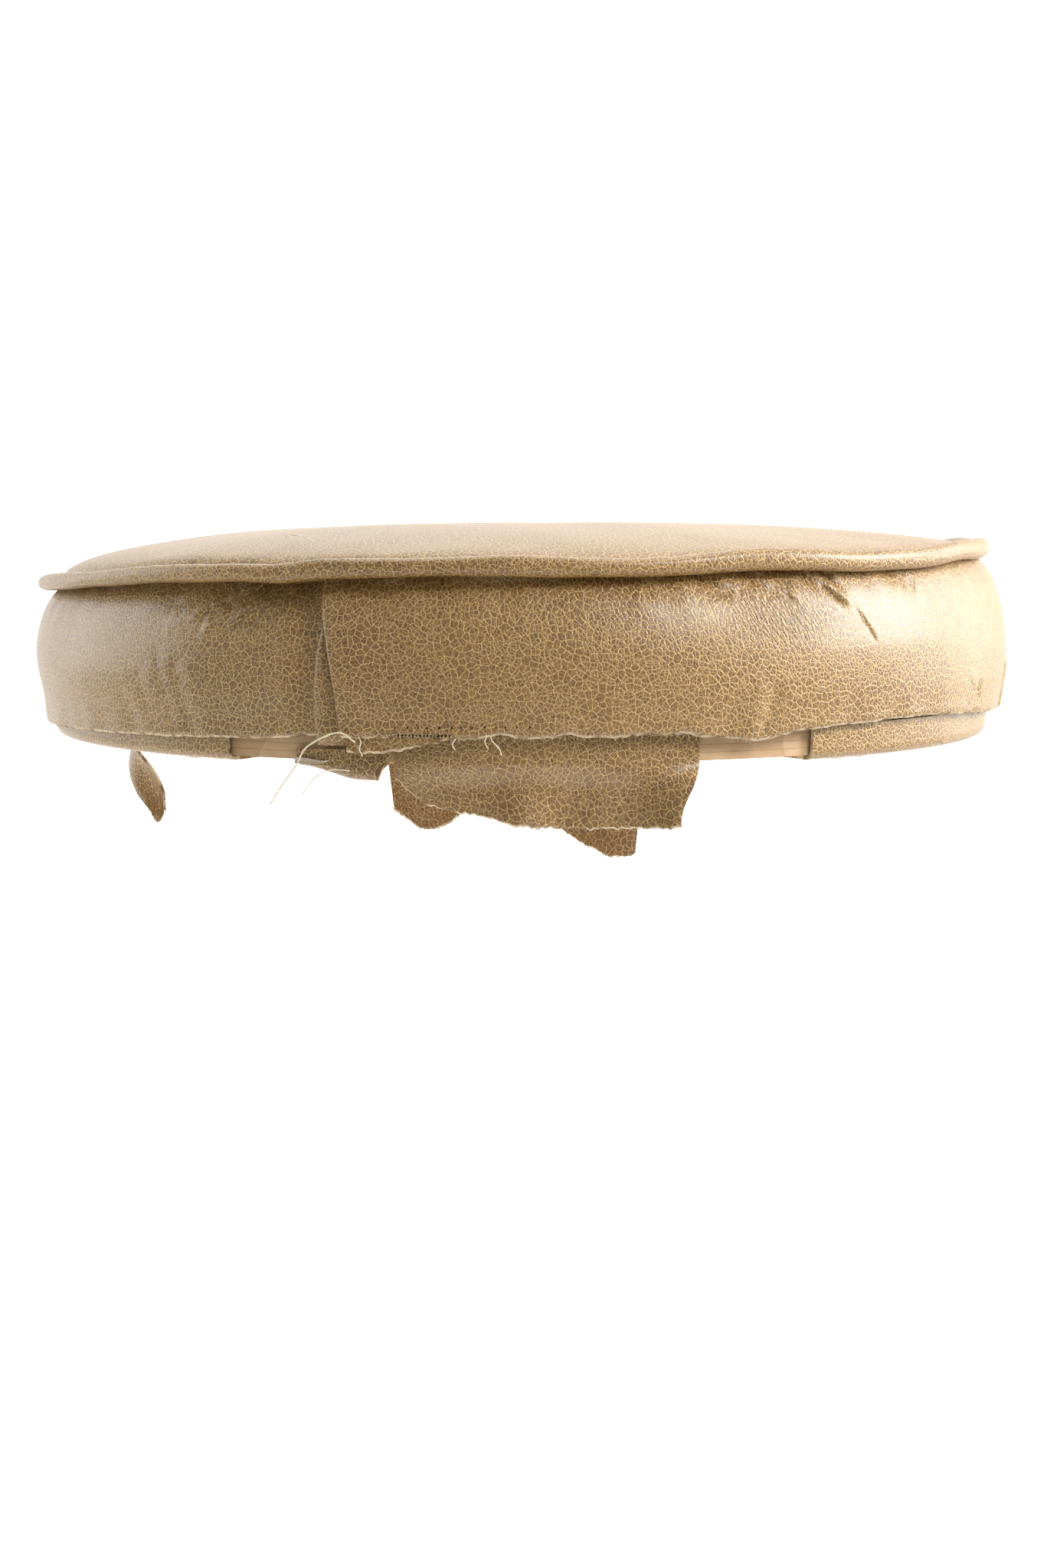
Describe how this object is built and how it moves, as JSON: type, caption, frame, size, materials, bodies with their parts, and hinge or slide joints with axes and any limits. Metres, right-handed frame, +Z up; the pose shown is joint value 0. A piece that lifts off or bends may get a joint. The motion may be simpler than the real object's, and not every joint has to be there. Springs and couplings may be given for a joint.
{
  "type": "seat pad",
  "caption": "Round upholstered seat pad with a corded welt, a lapped side band and loose collar flaps under its board.",
  "frame": {"origin": "centre of the seat board's underside, the face that is screwed down on the stool's frame", "axes": "+Z up through the pad, -Y towards the front, where the band's lap is just left of centre, +X to the right seen from the front"},
  "size_m": [0.3597, 0.3599, 0.1219],
  "materials": {
    "vinyl": "semi-gloss grained leatherette, tan",
    "plywood": "raw plywood",
    "foam": "open-cell polyurethane foam",
    "fibre": "white polyester fibre",
    "steel": "zinc plated",
    "thread": "bonded sewing thread, cream"
  },
  "bodies": {
    "pad": {"collar": "vinyl", "collar_corner": "vinyl", "foam_core": "foam", "hem_remnant": "vinyl", "lap_facing": "vinyl", "loose_thread": "thread", "seat_board": "plywood", "side_band": "vinyl", "staple_1": "steel", "staple_10": "steel", "staple_11": "steel", "staple_12": "steel", "staple_13": "steel", "staple_14": "steel", "staple_15": "steel", "staple_16": "steel", "staple_17": "steel", "staple_18": "steel", "staple_19": "steel", "staple_2": "steel", "staple_20": "steel", "staple_3": "steel", "staple_4": "steel", "staple_5": "steel", "staple_6": "steel", "staple_7": "steel", "staple_8": "steel", "staple_9": "steel", "t_nut_1": "steel", "t_nut_2": "steel", "t_nut_3": "steel", "t_nut_4": "steel", "tab_front": "vinyl", "tab_left": "vinyl", "tab_right": "vinyl", "top_panel": "vinyl", "wadding": "fibre", "welt_cord": "fibre", "welt_cover": "vinyl"},
    "front_flap": {"flap_front": "vinyl"},
    "left_flap": {"flap_left": "vinyl"},
    "right_flap": {"flap_right": "vinyl"},
    "side_flap": {"flap_side": "vinyl"}
  },
  "joints": [
    {"name": "front_flap_hinge", "type": "hinge", "parent": "pad", "child": "front_flap", "pos_m": [0.006, -0.168, -0.0024], "axis": [1, 0, 0], "range_deg": [-80, 70]},
    {"name": "left_flap_hinge", "type": "hinge", "parent": "pad", "child": "left_flap", "pos_m": [-0.029, -0.092, -0.0024], "axis": [1, 0, 0], "range_deg": [-80, 70]},
    {"name": "right_flap_hinge", "type": "hinge", "parent": "pad", "child": "right_flap", "pos_m": [0.022, -0.062, -0.0024], "axis": [1, 0, 0], "range_deg": [-80, 70]},
    {"name": "side_flap_hinge", "type": "hinge", "parent": "pad", "child": "side_flap", "pos_m": [-0.15, -0.003, -0.0024], "axis": [0, 1, 0], "range_deg": [-70, 75]}
  ]
}
